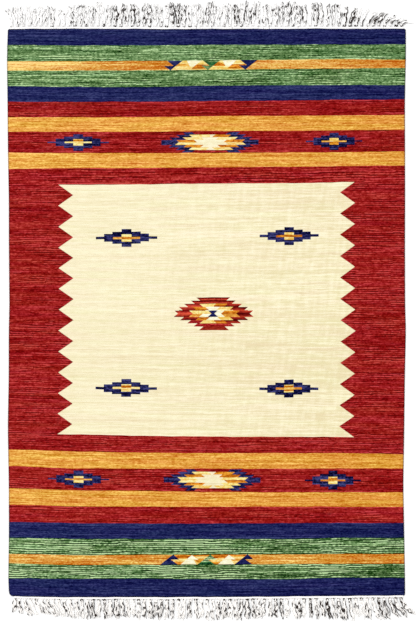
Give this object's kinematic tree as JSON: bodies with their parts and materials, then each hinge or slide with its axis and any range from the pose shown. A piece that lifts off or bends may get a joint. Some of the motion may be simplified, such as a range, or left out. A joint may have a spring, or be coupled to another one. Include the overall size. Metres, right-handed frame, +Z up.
{
  "type": "kilim rug",
  "caption": "Flat-woven kilim rug with coloured end stripes, a cream field with zigzag sides, small stepped diamonds and a knotted white fringe at each end.",
  "frame": {"origin": "middle of the underside of the whole rug, fringes included", "axes": "+Y along the warp, from the near end to the far end; +X across the rug, from the left selvage to the right; +Z up, out of the face"},
  "size_m": [1.2252, 1.867, 0.0062],
  "materials": {
    "woven_cloth": "matt weft-faced flat weave: navy, heathered green, space-dyed orange, red, gold and cream yarns",
    "fringe_yarn": "matt undyed white cotton, plied warp ends knotted in bundles"
  },
  "bodies": {
    "root": {"kilim_cloth": "woven_cloth", "fringe_far": "fringe_yarn", "fringe_near": "fringe_yarn"}
  },
  "joints": []
}
